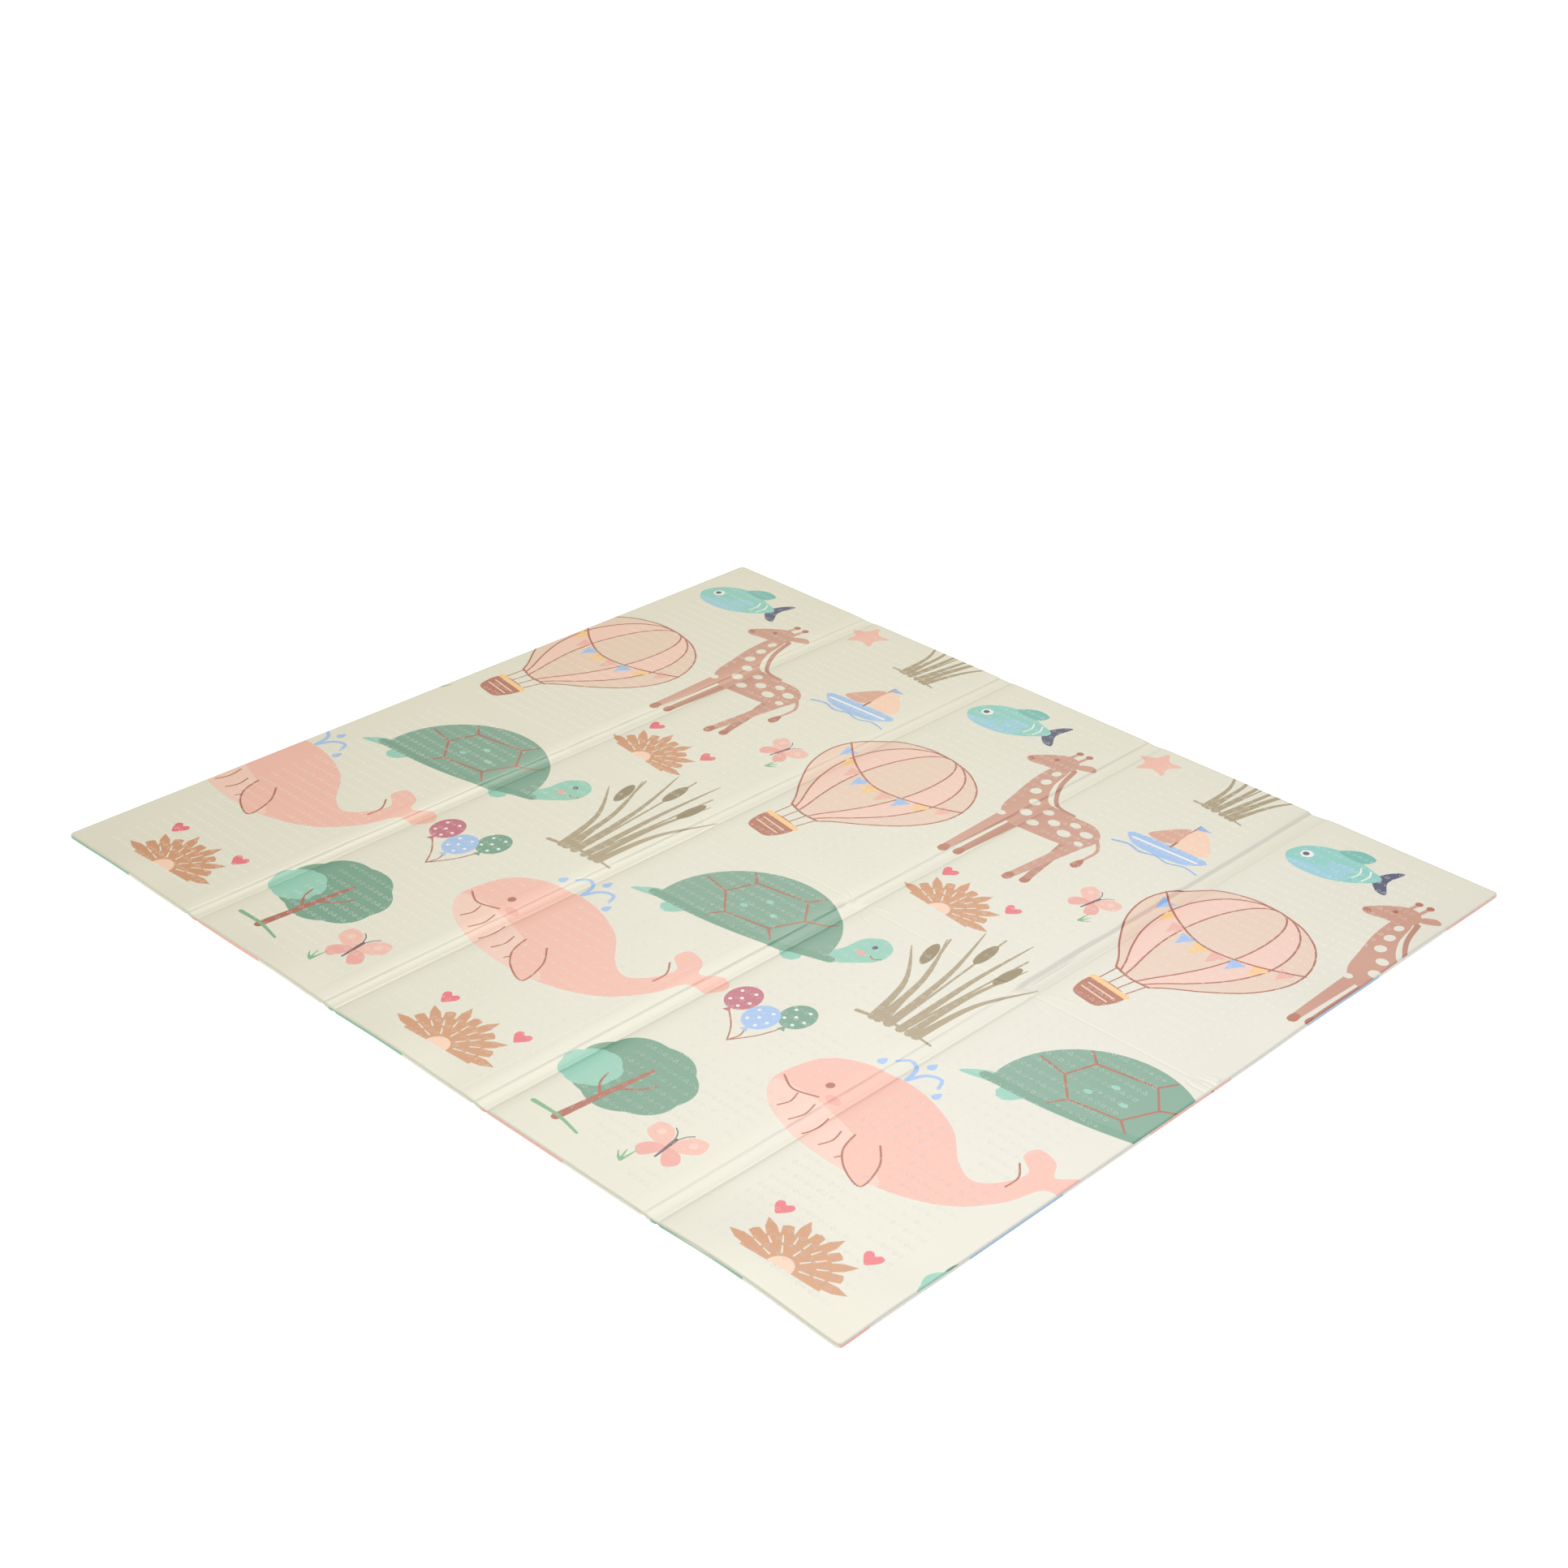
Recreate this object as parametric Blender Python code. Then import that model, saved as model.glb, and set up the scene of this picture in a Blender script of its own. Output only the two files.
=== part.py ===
"""Foldable floor mat: one pressed foam slab, 2.00 m by 1.80 m and 10 mm thick, laid out flat.

Five panels lie side by side along X. Between two panels runs a fold band: two grooves pressed up from
the underside, with a rib between them, so only the top film is left whole to bend. One more groove runs
along X through the middle of the width. The origin is at the middle of the footprint, on the floor.
"""

import math

import bmesh
import bpy
from mathutils import Vector

MM = 0.001

# Driving sizes, in metres
LENGTH = 2.000
WIDTH = 1.800
THICKNESS = 0.010
PANELS = 5
GROOVE_SPACING = 30 * MM
CORNER_RADIUS = 9 * MM

# Across a groove: distance from its middle, how far its underside is pressed up towards the web, and how
# much of the crease's depth the top film has there
GROOVE_OFFSET = (0.0, 3.0 * MM, 8.0 * MM)
GROOVE_RISE = (1.0, 0.3, 0.0)
CREASE_SINK = (1.0, 0.55, 0.1)
WEB_THICKNESS = 1.2 * MM
MIDDLE_CREASE = 0.5 * MM

# Rounded rim of the slab: distance in from the edge, drop of the top film, rise of the underside
RIM_INSET = (0.0, 2.5 * MM, 8.0 * MM)
RIM_TOP_DROP = (2.8 * MM, 0.7 * MM, 0.0)
RIM_BOTTOM_RISE = (2.2 * MM, 0.5 * MM, 0.0)

# Each fold band in the half of the mat towards -Y and in the one towards +Y: depth of the shallow trough in
# the top film, and depth of the crease over its first and its second groove
BANDS = (
    {"trough": (1.4 * MM, 1.2 * MM), "first": (1.0 * MM, 0.8 * MM), "second": (0.5 * MM, 0.6 * MM)},
    {"trough": (1.2 * MM, 1.0 * MM), "first": (0.8 * MM, 0.8 * MM), "second": (0.6 * MM, 0.5 * MM)},
    {"trough": (1.8 * MM, 1.4 * MM), "first": (1.0 * MM, 1.0 * MM), "second": (0.6 * MM, 0.6 * MM)},
    {"trough": (1.0 * MM, 2.2 * MM), "first": (0.7 * MM, 3.0 * MM), "second": (0.6 * MM, 0.4 * MM)},
)
TROUGH_REACH = 45 * MM
HALF_CHANGE = 30 * MM

# Places where the slab stands a little off the floor: middle, reach along X and Y, and height
LIFTS = (
    {"x": -0.84, "y": -0.90, "reach_x": 0.14, "reach_y": 0.16, "rise": 2.5 * MM},
    {"x": -0.36, "y": -0.90, "reach_x": 0.14, "reach_y": 0.12, "rise": 2.0 * MM},
    {"x": -0.04, "y": -0.90, "reach_x": 0.17, "reach_y": 0.14, "rise": 3.0 * MM},
    {"x": 0.77, "y": -0.90, "reach_x": 0.21, "reach_y": 0.20, "rise": 6.0 * MM},
    {"x": 1.00, "y": -0.78, "reach_x": 0.12, "reach_y": 0.11, "rise": 2.0 * MM},
    {"x": 1.00, "y": 0.30, "reach_x": 0.14, "reach_y": 0.20, "rise": 2.5 * MM},
    {"x": 1.00, "y": 0.62, "reach_x": 0.16, "reach_y": 0.20, "rise": 2.5 * MM},
)

# How far the edge towards -Y is drawn in, by X
FRONT_BOW = ((-1.0, -0.4, 0.2, 0.7, 0.9, 0.985), (0.0, 1.0 * MM, 2.5 * MM, 4.5 * MM, 2.5 * MM, 0.0))
BOW_REACH = 0.70

# Soft crown of a panel between its folds
CROWN = 0.6 * MM

# Mesh rows between the folds
INNER_ROWS_PER_PANEL = 4
INNER_ROWS_PER_HALF = 6
BAND_SHOULDER = 42 * MM
MIDDLE_SHOULDER = 30 * MM

FILM_COLOUR = (0.86, 0.84, 0.74, 1.0)
FILM_ROUGHNESS = 0.42


def read_table(place, places, values):
    """Value at a place, straight between the rows and constant past the last one."""
    for (near, far), (low, high) in zip(zip(places, places[1:]), zip(values, values[1:])):
        if place <= far:
            return low + (high - low) * (place - near) / (far - near)
    return values[-1]


def bell(share):
    """1 in the middle, falling softly to 0 where share reaches 1."""
    return 0.5 + 0.5 * math.cos(math.pi * share) if share < 1.0 else 0.0


def band_middles():
    return [LENGTH * (k / PANELS - 0.5) for k in range(1, PANELS)]


def groove_middles():
    """X of every groove that runs along Y."""
    return [x + side * GROOVE_SPACING / 2 for x in band_middles() for side in (-1, 1)]


def groove_distance(x):
    return min(abs(x - g) for g in groove_middles())


def by_half(pair, y):
    """Changes over from the first value to the second where the mat's two halves meet."""
    share = min(1.0, max(0.0, 0.5 + y / HALF_CHANGE))
    return pair[0] + (pair[1] - pair[0]) * share


def rim_distance(x, y):
    return min(LENGTH / 2 - abs(x), WIDTH / 2 - abs(y))


def lift(x, y):
    """How far the slab stands off the floor."""
    return sum(
        row["rise"] * bell(math.hypot((x - row["x"]) / row["reach_x"], (y - row["y"]) / row["reach_y"]))
        for row in LIFTS
    )


def trough(x, y):
    """How far the top film sinks towards the fold bands."""
    return sum(
        by_half(row["trough"], y) * bell(abs(x - middle) / TROUGH_REACH)
        for middle, row in zip(band_middles(), BANDS)
    )


def crease(x, y):
    """How far the top film sinks over the grooves."""
    sink = 0.0
    if abs(y) <= GROOVE_OFFSET[-1]:
        sink = MIDDLE_CREASE * read_table(abs(y), GROOVE_OFFSET, CREASE_SINK)
    for middle, row in zip(band_middles(), BANDS):
        for side, name in ((-1, "first"), (1, "second")):
            distance = abs(x - middle - side * GROOVE_SPACING / 2)
            if distance <= GROOVE_OFFSET[-1] + 1e-6:
                sink = max(sink, by_half(row[name], y) * read_table(distance, GROOVE_OFFSET, CREASE_SINK))
    return sink


def crown(x, y):
    """Soft swell of each panel half."""
    panel = LENGTH / PANELS
    across = (x + LENGTH / 2) % panel / panel
    along = (y + WIDTH / 2) % (WIDTH / 2) / (WIDTH / 2)
    return CROWN * math.sin(math.pi * across) * math.sin(math.pi * along)


def top_height(x, y):
    rim = read_table(rim_distance(x, y), RIM_INSET, RIM_TOP_DROP)
    return THICKNESS + crown(x, y) - trough(x, y) - crease(x, y) - rim + lift(x, y)


def underside_height(x, y):
    """Underside: flat on the floor, pressed up under the web in the grooves, rounded at the rim."""
    pressed = max(
        read_table(groove_distance(x), GROOVE_OFFSET, GROOVE_RISE),
        read_table(abs(y), GROOVE_OFFSET, GROOVE_RISE),
    )
    under_web = top_height(x, y) - lift(x, y) - WEB_THICKNESS
    rim = read_table(rim_distance(x, y), RIM_INSET, RIM_BOTTOM_RISE)
    return max(pressed * under_web, rim) + lift(x, y)


def rows_along_x():
    """X of every mesh row: rims, fold bands and the panels between them."""
    rows = {side * (LENGTH / 2 - inset) for side in (-1, 1) for inset in RIM_INSET[1:]}
    for groove in groove_middles():
        rows |= {groove + side * offset for side in (-1, 1) for offset in GROOVE_OFFSET}
    for middle in band_middles():
        rows |= {middle - BAND_SHOULDER, middle + BAND_SHOULDER}
    panel = LENGTH / PANELS
    for k in range(PANELS):
        start = -LENGTH / 2 + k * panel
        rows |= {start + panel * (i + 1) / (INNER_ROWS_PER_PANEL + 1) for i in range(INNER_ROWS_PER_PANEL)}
    return sorted(rows)


def rows_along_y():
    rows = {side * (WIDTH / 2 - inset) for side in (-1, 1) for inset in RIM_INSET[1:]}
    rows |= {side * offset for side in (-1, 1) for offset in GROOVE_OFFSET}
    rows |= {-MIDDLE_SHOULDER, MIDDLE_SHOULDER}
    half = WIDTH / 2
    for side in (-1, 1):
        rows |= {side * half * (i + 1) / (INNER_ROWS_PER_HALF + 1) for i in range(INNER_ROWS_PER_HALF)}
    return sorted(rows)


def draw_in(x, y):
    """The edge towards -Y is drawn in a little between its corners."""
    return y + read_table(x, *FRONT_BOW) * bell((y + WIDTH / 2) / BOW_REACH)


def round_corner(x, y):
    """Draws the square mesh of each corner in to a quarter circle."""
    inner_x = LENGTH / 2 - CORNER_RADIUS
    inner_y = WIDTH / 2 - CORNER_RADIUS
    out = Vector((abs(x) - inner_x, abs(y) - inner_y))
    if out.x <= 0 or out.y <= 0:
        return x, y
    out *= max(out.x, out.y) / out.length
    return math.copysign(inner_x + out.x, x), math.copysign(inner_y + out.y, y)


def film_material():
    material = bpy.data.materials.new("printed_film")
    material.use_nodes = True
    shader = material.node_tree.nodes["Principled BSDF"]
    shader.inputs["Base Color"].default_value = FILM_COLOUR
    shader.inputs["Roughness"].default_value = FILM_ROUGHNESS
    shader.inputs["Metallic"].default_value = 0.0
    return material


def slab_mesh():
    """A box of the slab's size, cut into rows, with its two faces pressed to their heights."""
    bm = bmesh.new()
    bmesh.ops.create_cube(bm, size=1.0)
    bmesh.ops.scale(bm, vec=(LENGTH, WIDTH, THICKNESS), verts=bm.verts)
    bmesh.ops.translate(bm, vec=(0, 0, THICKNESS / 2), verts=bm.verts)
    for axis, rows in ((Vector((1, 0, 0)), rows_along_x()), (Vector((0, 1, 0)), rows_along_y())):
        for row in rows:
            everything = bm.verts[:] + bm.edges[:] + bm.faces[:]
            bmesh.ops.bisect_plane(bm, geom=everything, plane_co=axis * row, plane_no=axis)
    for vertex in bm.verts:
        x, y, z = vertex.co
        height = top_height(x, y) if z > THICKNESS / 2 else underside_height(x, y)
        x, y = round_corner(x, y)
        vertex.co = (x, draw_in(x, y), height)
    mesh = bpy.data.meshes.new("mat")
    bm.to_mesh(mesh)
    bm.free()
    return mesh


def main():
    for old in list(bpy.data.objects):
        bpy.data.objects.remove(old)
    collection = bpy.data.collections.new("foldable_mat")
    bpy.context.scene.collection.children.link(collection)
    mat = bpy.data.objects.new("mat", slab_mesh())
    mat.data.materials.append(film_material())
    mat.data.shade_smooth()
    mat.data.set_sharp_from_angle(angle=math.radians(30))
    collection.objects.link(mat)


main()
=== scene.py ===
"""Looks of the foldable foam floor mat: film, print, emboss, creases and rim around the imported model."""

import math

import bpy
import numpy as np
from mathutils import Matrix, Vector
from mathutils.geometry import delaunay_2d_cdt


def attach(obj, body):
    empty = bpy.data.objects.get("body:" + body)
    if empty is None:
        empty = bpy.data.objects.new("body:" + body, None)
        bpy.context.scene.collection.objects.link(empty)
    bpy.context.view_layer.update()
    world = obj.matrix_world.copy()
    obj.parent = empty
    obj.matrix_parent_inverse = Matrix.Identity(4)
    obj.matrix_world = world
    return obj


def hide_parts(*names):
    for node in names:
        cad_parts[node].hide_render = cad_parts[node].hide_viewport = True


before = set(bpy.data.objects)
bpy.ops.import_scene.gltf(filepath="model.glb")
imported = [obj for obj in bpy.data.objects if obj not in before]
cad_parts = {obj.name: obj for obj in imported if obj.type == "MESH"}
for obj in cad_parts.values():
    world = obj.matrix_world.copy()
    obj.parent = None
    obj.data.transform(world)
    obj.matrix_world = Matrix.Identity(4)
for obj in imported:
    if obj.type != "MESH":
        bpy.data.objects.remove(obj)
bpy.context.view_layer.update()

MM = 0.001
CM = 0.01

# Sizes of the slab, as in the model
LENGTH = 2.000
WIDTH = 1.800
THICKNESS = 10 * MM
PANEL = 0.400
BAND_MIDDLES = (-0.6, -0.2, 0.2, 0.6)
GROOVE_SPACING = 30 * MM
# Half width of a band's first groove, and that of its second one and of the middle groove
GROOVE_REACH = (11 * MM, 8.5 * MM)
CORNER_RADIUS = 9 * MM
WEB_THICKNESS = 1.2 * MM
TROUGH_REACH = 45 * MM
# Over this width of the mat's middle the bands change from one half's shape to the other's
HALF_CHANGE = 30 * MM

# Each fold band, in the half towards -Y and in the one towards +Y, in mm: the shallow trough, the sag
# between the two creases, how far that strip tilts down to a step at the second crease, and the depth of
# the first and of the second crease
BANDS = (
    ((1.2, 1.2), (0.6, 0.4), (1.5, 0.9), (1.2, 1.1), (0.5, 0.5)),
    ((1.2, 1.1), (0.4, 0.3), (1.2, 0.8), (1.0, 1.0), (0.6, 0.4)),
    ((1.6, 1.4), (0.6, 0.5), (2.0, 0.9), (1.1, 1.2), (0.5, 0.5)),
    ((1.1, 1.7), (0.6, 0.3), (1.2, 0.2), (0.8, 3.1), (0.5, 0.4)),
)
CREASE_WIDTH = 5.5 * MM
# How far a crease wavers to the side, and by what share its depth changes along it
CREASE_SWAY = 0.7 * MM
CREASE_CHANGE = 0.3
# The deep valley in the last band: offset from its line in mm, and share of its depth
VALLEY = ((-11.5, -8.2, -0.9, 0.0, 1.0, 6.0, 34.0), (0.0, 0.03, 0.93, 1.0, 0.94, 0.76, 0.0))
VALLEY_BAND = 3
# It starts at this Y and is full after this run
VALLEY_START = -14 * MM
VALLEY_RUN = 34 * MM
# The tilted strip between the creases: offset from the band's middle in mm, and share of its step
STEP = ((-15.0, -13.0, 13.5, 16.0, 20.0, 24.0), (0.0, 0.05, 1.0, 0.95, 0.18, 0.0))
# The crease along the mat's middle
MIDDLE_DEPTH = 0.22 * MM
MIDDLE_SWAY = 0.8 * MM
MIDDLE_WIDTH = 5 * MM
# A low step before each band: its distance from the band's middle, depth, and reach back and ahead
SHOULDER_PLACE = 55 * MM
SHOULDER_DEPTH = 0.14 * MM
SHOULDER_REACH = (4 * MM, 7 * MM)

# Small lifts of the rim: X and Y of the middle, reach along X and along Y, and rise in mm
LIFTS = (
    (-0.84, -0.90, 0.14, 0.16, 2.5),
    (-0.36, -0.90, 0.14, 0.12, 2.0),
    (-0.04, -0.90, 0.17, 0.14, 3.0),
    (0.77, -0.90, 0.21, 0.20, 6.0),
    (1.00, -0.78, 0.12, 0.11, 2.0),
    (1.00, 0.30, 0.14, 0.20, 2.5),
    (1.00, 0.62, 0.16, 0.20, 2.5),
)
# How far the edge towards -Y is drawn in at places along X, and how deep into the mat this reaches
FRONT_BOW = ((-1.0, -0.4, 0.2, 0.7, 0.9, 0.985), (0.0, 1.0 * MM, 2.5 * MM, 4.5 * MM, 2.5 * MM, 0.0))
BOW_REACH = 0.70

# The rim's section, from 8 mm in: inset from the edge and drop of the top film down to the seam
RIM_TOP = ((8.0, 6.0, 4.2, 2.8, 1.8, 1.1, 0.6, 0.3), (0.0, 0.03, 0.10, 0.24, 0.45, 0.75, 1.15, 1.8))
# The same from below: inset from the edge and height of the underside film up to the seam
RIM_BOTTOM = (
    (8.0, 6.5, 5.0, 3.5, 2.4, 1.5, 0.8, 0.3, 0.05, 0.0, 0.0, 0.1, 0.3),
    (0.0, 0.02, 0.10, 0.30, 0.60, 1.05, 1.65, 2.4, 3.2, 4.4, 6.0, 7.3, 8.2),
)
# The run in which the underside's grooves fade before the seam, and how sharply they meet the plain face
SEAM_FADE = 1.5 * MM
GROOVE_BLEND = 6
# The flat pattern: a rectangle that ends here, and round it the rim, which starts at the inner radius
INNER_RADIUS = CORNER_RADIUS - 8 * MM
HALF_X = LENGTH / 2 - CORNER_RADIUS
HALF_Y = WIDTH / 2 - CORNER_RADIUS


def placed(name, data):
    """A new object in the scene."""
    made = bpy.data.objects.new(name, data)
    bpy.context.scene.collection.objects.link(made)
    return made


# Height of the two faces

def smooth(t):
    t = np.clip(t, 0.0, 1.0)
    return t * t * (3 - 2 * t)


def bell(share):
    return 0.5 + 0.5 * np.cos(np.pi * np.clip(share, 0.0, 1.0))


def by_half(pair, y):
    """The first of a pair of mm in the half towards -Y, the second in the other, in metres."""
    share = smooth(0.5 + y / HALF_CHANGE)
    return (pair[0] + (pair[1] - pair[0]) * share) * MM


def lift(x, y):
    return sum(
        rise * MM * bell(np.hypot((x - middle_x) / reach_x, (y - middle_y) / reach_y))
        for middle_x, middle_y, reach_x, reach_y, rise in LIFTS
    )


def waver(y, phase, size):
    """Slow change along a crease, so that it isn't ruled."""
    waves = np.sin(7.3 * y + phase) + 0.6 * np.sin(17.9 * y + 2.1 * phase) + 0.4 * np.sin(41.0 * y + phase)
    return size * waves / 2


def crease(offset, depth, back, ahead=None):
    """A crease with its sharp line at offset 0, reaching back towards -X and ahead towards +X."""
    reach = np.where(offset < 0, back, ahead or back)
    return depth * (1 - np.clip(np.abs(offset) / reach, 0, 1)) ** 2


def line_relief(x, y, points, width):
    """1 on a line through the points, falling to 0 at that width from it, and fading at its ends."""
    out = np.zeros_like(x)
    points = np.array(points)
    low, high = points.min(axis=0) - width, points.max(axis=0) + width
    near = (x > low[0]) & (x < high[0]) & (y > low[1]) & (y < high[1])
    if not near.any():
        return out
    place = np.stack([x[near], y[near]], axis=1)
    best = np.full(len(place), 9.0)
    along = np.zeros(len(place))
    count = len(points) - 1
    for k in range(count):
        start, step = points[k], points[k + 1] - points[k]
        t = np.clip(((place - start) @ step) / (step @ step), 0, 1)
        gap = np.hypot(*(place - start - t[:, None] * step).T)
        along = np.where(gap < best, (k + t) / count, along)
        best = np.minimum(gap, best)
    out[near] = (1 - np.clip(best / width, 0, 1)) ** 2 * np.clip(4 * along * (1 - along) * 1.6, 0, 1)
    return out


def arc(x0, y0, x1, y1, bow, steps=10):
    """Points of a shallow arc in metres, bowed to its left by that share of its length."""
    t = np.linspace(0, 1, steps)
    dx, dy = x1 - x0, y1 - y0
    side = 4 * bow * t * (1 - t)
    return np.stack([x0 + dx * t - dy * side, y0 + dy * t + dx * side], axis=1)


def beside(line, width):
    """A line and others next to it, up to that width away."""
    step = np.gradient(line, axis=0)
    side = np.stack([-step[:, 1], step[:, 0]], axis=1) / np.linalg.norm(step, axis=1)[:, None]
    lines = [line + side * width * share for share in (-1.0, -0.5, 0.0, 0.5, 1.0)]
    return [np.clip(each, (-HALF_X, -HALF_Y), (HALF_X, HALF_Y)) for each in lines]


# Small wrinkles of the top film where folds cross and at the rim: X and Y of both ends, bow, width in mm,
# and depth in mm, which is below 0 where the film is raised
WRINKLES = (
    (0.5895, 0.010, 0.5895, 0.150, 0.0, 4.5, -2.0),
    (0.520, -0.030, 0.592, 0.004, 0.10, 6, -0.3),
    (0.540, -0.085, 0.584, -0.010, -0.12, 6, 0.3),
    (0.610, 0.004, 0.690, -0.030, -0.12, 7, 0.2),
    (0.625, 0.012, 0.700, 0.030, 0.10, 7, -0.2),
    (0.180, -0.055, 0.196, 0.010, 0.10, 7, -0.8),
    (0.150, 0.020, 0.186, -0.004, 0.16, 5, 0.45),
    (0.216, -0.004, 0.262, -0.034, -0.14, 5, 0.45),
    (0.222, 0.006, 0.270, 0.020, 0.12, 6, -0.3),
    (-0.235, 0.018, -0.206, -0.004, 0.14, 5, 0.4),
    (-0.184, -0.002, -0.140, -0.024, -0.12, 5, 0.35),
    (-0.190, 0.006, -0.150, 0.026, 0.12, 5, -0.25),
    (-0.640, 0.020, -0.612, -0.002, 0.12, 5, 0.35),
    (-0.586, -0.004, -0.545, -0.022, -0.12, 5, 0.35),
    (0.960, 0.004, 1.000, 0.010, 0.10, 5, 0.7),
    (0.950, -0.010, 0.999, -0.014, -0.10, 5, 0.6),
    (0.965, 0.022, 0.999, 0.028, 0.06, 4, -0.4),
)


def panel_swell(x, y):
    """Soft crown of each panel half and a slow unevenness over the whole mat."""
    across = (x + LENGTH / 2) % PANEL / PANEL
    along = (y + WIDTH / 2) % (WIDTH / 2) / (WIDTH / 2)
    crown = 0.6 * np.sin(np.pi * across) * np.sin(np.pi * along)
    slow = 0.22 * np.sin(6.1 * x + 2.0 * y + 0.4) * np.sin(4.3 * y - 1.7 * x + 1.1)
    fine = 0.10 * np.sin(19.0 * x - 7.0 * y) * np.sin(13.0 * y + 5.0 * x + 0.7)
    return (crown + slow + fine) * MM


def body_top(x, y):
    """Height of the top film over the floor before its rim rounds down, without the lifts."""
    height = THICKNESS + panel_swell(x, y)
    for k, (middle, row) in enumerate(zip(BAND_MIDDLES, BANDS)):
        trough, sag, step, first_depth, second_depth = (by_half(pair, y) for pair in row)
        away = x - middle
        height = height - trough * bell(np.abs(away) / TROUGH_REACH)
        height = height - sag * np.clip(1 - (away / (GROOVE_SPACING / 2)) ** 2, 0, 1)
        height = height - step * np.interp(away, np.array(STEP[0]) * MM, STEP[1])
        height = height - crease(away + SHOULDER_PLACE, SHOULDER_DEPTH, *SHOULDER_REACH)
        strength = 1 + waver(y, 1.7 * k, CREASE_CHANGE)
        valley = smooth((y - VALLEY_START) / VALLEY_RUN) if k == VALLEY_BAND else np.zeros_like(y)
        first = away + GROOVE_SPACING / 2 - waver(y, 0.9 + k, CREASE_SWAY)
        plain = crease(first, first_depth * strength, CREASE_WIDTH)
        sheer = first_depth * np.interp(first, np.array(VALLEY[0]) * MM, VALLEY[1])
        height = height - (plain * (1 - valley) + sheer * valley)
        second = away - GROOVE_SPACING / 2 - waver(y, 2.9 + k, CREASE_SWAY)
        height = height - crease(second, second_depth * strength, CREASE_WIDTH)
    middle_line = y - MIDDLE_SWAY * np.sin(9 * x + 0.5)
    height = height - crease(middle_line, MIDDLE_DEPTH, MIDDLE_WIDTH)
    for *bowed, width, depth in WRINKLES:
        height = height - depth * MM * line_relief(x, y, arc(*bowed), width * MM)
    return height


def groove_share(x, y):
    """1 over the middle of a groove in the underside, falling to 0 at its side."""
    share = bell(np.abs(y) / GROOVE_REACH[1])
    for middle in BAND_MIDDLES:
        share = np.maximum(share, bell(np.abs(x - middle + GROOVE_SPACING / 2) / GROOVE_REACH[0]))
        share = np.maximum(share, bell(np.abs(x - middle - GROOVE_SPACING / 2) / GROOVE_REACH[1]))
    return share


def arc_lengths(table):
    """Length along a rim section at each of its rows, in metres."""
    inset, height = (np.array(values) * MM for values in table)
    return np.concatenate([[0], np.cumsum(np.hypot(np.diff(inset), np.diff(height)))])


RIM_TOP_ALONG = arc_lengths(RIM_TOP)
RIM_BOTTOM_ALONG = arc_lengths(RIM_BOTTOM)
TOP_REACH = INNER_RADIUS + RIM_TOP_ALONG[-1]
BOTTOM_REACH = INNER_RADIUS + RIM_BOTTOM_ALONG[-1]


def on_slab(u, v, top):
    """Places of the flat pattern (u, v) on the slab. Past the rim it goes on down round the edge."""
    base_x, base_y = np.clip(u, -HALF_X, HALF_X), np.clip(v, -HALF_Y, HALF_Y)
    out_x, out_y = u - base_x, v - base_y
    reach = np.hypot(out_x, out_y)
    along = np.maximum(reach - INNER_RADIUS, 0)
    table, lengths = (RIM_TOP, RIM_TOP_ALONG) if top else (RIM_BOTTOM, RIM_BOTTOM_ALONG)
    inset = np.interp(along, lengths, np.array(table[0]) * MM)
    rim = np.interp(along, lengths, np.array(table[1]) * MM)
    plan = np.where(reach > INNER_RADIUS, CORNER_RADIUS - inset, reach)
    scale = plan / np.maximum(reach, 1e-9)
    x, y = base_x + out_x * scale, base_y + out_y * scale
    body = body_top(x, y)
    if top:
        z = body - rim
    else:
        drop_here = np.interp(-inset, -np.array(RIM_TOP[0]) * MM, np.array(RIM_TOP[1]) * MM)
        seam = body - RIM_TOP[1][-1] * MM
        plain = rim / (RIM_BOTTOM[1][-1] * MM) * seam
        pressed = groove_share(x, y) * np.maximum(body - drop_here - WEB_THICKNESS, 0)
        both = (plain ** GROOVE_BLEND + pressed ** GROOVE_BLEND) ** (1 / GROOVE_BLEND)
        z = plain + (both - plain) * np.clip((lengths[-1] - along) / SEAM_FADE, 0, 1)
    z = z + lift(x, y)
    y = y + np.interp(x, *FRONT_BOW) * bell((y + WIDTH / 2) / BOW_REACH)
    return np.stack([x, y, z], axis=1)


def slab_normals(u, v, top):
    """Normals of on_slab by small steps of the pattern."""
    step = 0.25 * MM
    across = on_slab(u + step, v, top) - on_slab(u - step, v, top)
    along = on_slab(u, v + step, top) - on_slab(u, v - step, top)
    normal = np.cross(across, along)
    length = np.linalg.norm(normal, axis=1)
    normal = normal / np.maximum(length, 1e-15)[:, None]
    return normal if top else -normal


# Flat shapes of the print, in centimetres around a motif's middle, with +Y up

def spline(points, closed=True, steps=6):
    """Smooth line through the points."""
    p = np.array(points, float)
    count = len(p)
    out = []
    for k in range(count if closed else count - 1):
        if closed:
            a, b, c, d = p[(k - 1) % count], p[k], p[(k + 1) % count], p[(k + 2) % count]
        else:
            a, b, c, d = p[max(k - 1, 0)], p[k], p[k + 1], p[min(k + 2, count - 1)]
        bend = 2 * a - 5 * b + 4 * c - d
        twist = 3 * b - a - 3 * c + d
        for s in range(steps):
            t = s / steps
            out.append(0.5 * (2 * b + (c - a) * t + bend * t ** 2 + twist * t ** 3))
    if not closed:
        out.append(p[-1])
    return np.array(out)


def oval(x, y, wide, high, turn=0.0, steps=28):
    """Ellipse of that full width and height, turned in degrees."""
    a = np.linspace(0, 2 * np.pi, steps, endpoint=False)
    px, py = wide / 2 * np.cos(a), high / 2 * np.sin(a)
    c, s = math.cos(math.radians(turn)), math.sin(math.radians(turn))
    return np.stack([x + px * c - py * s, y + px * s + py * c], axis=1)


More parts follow.
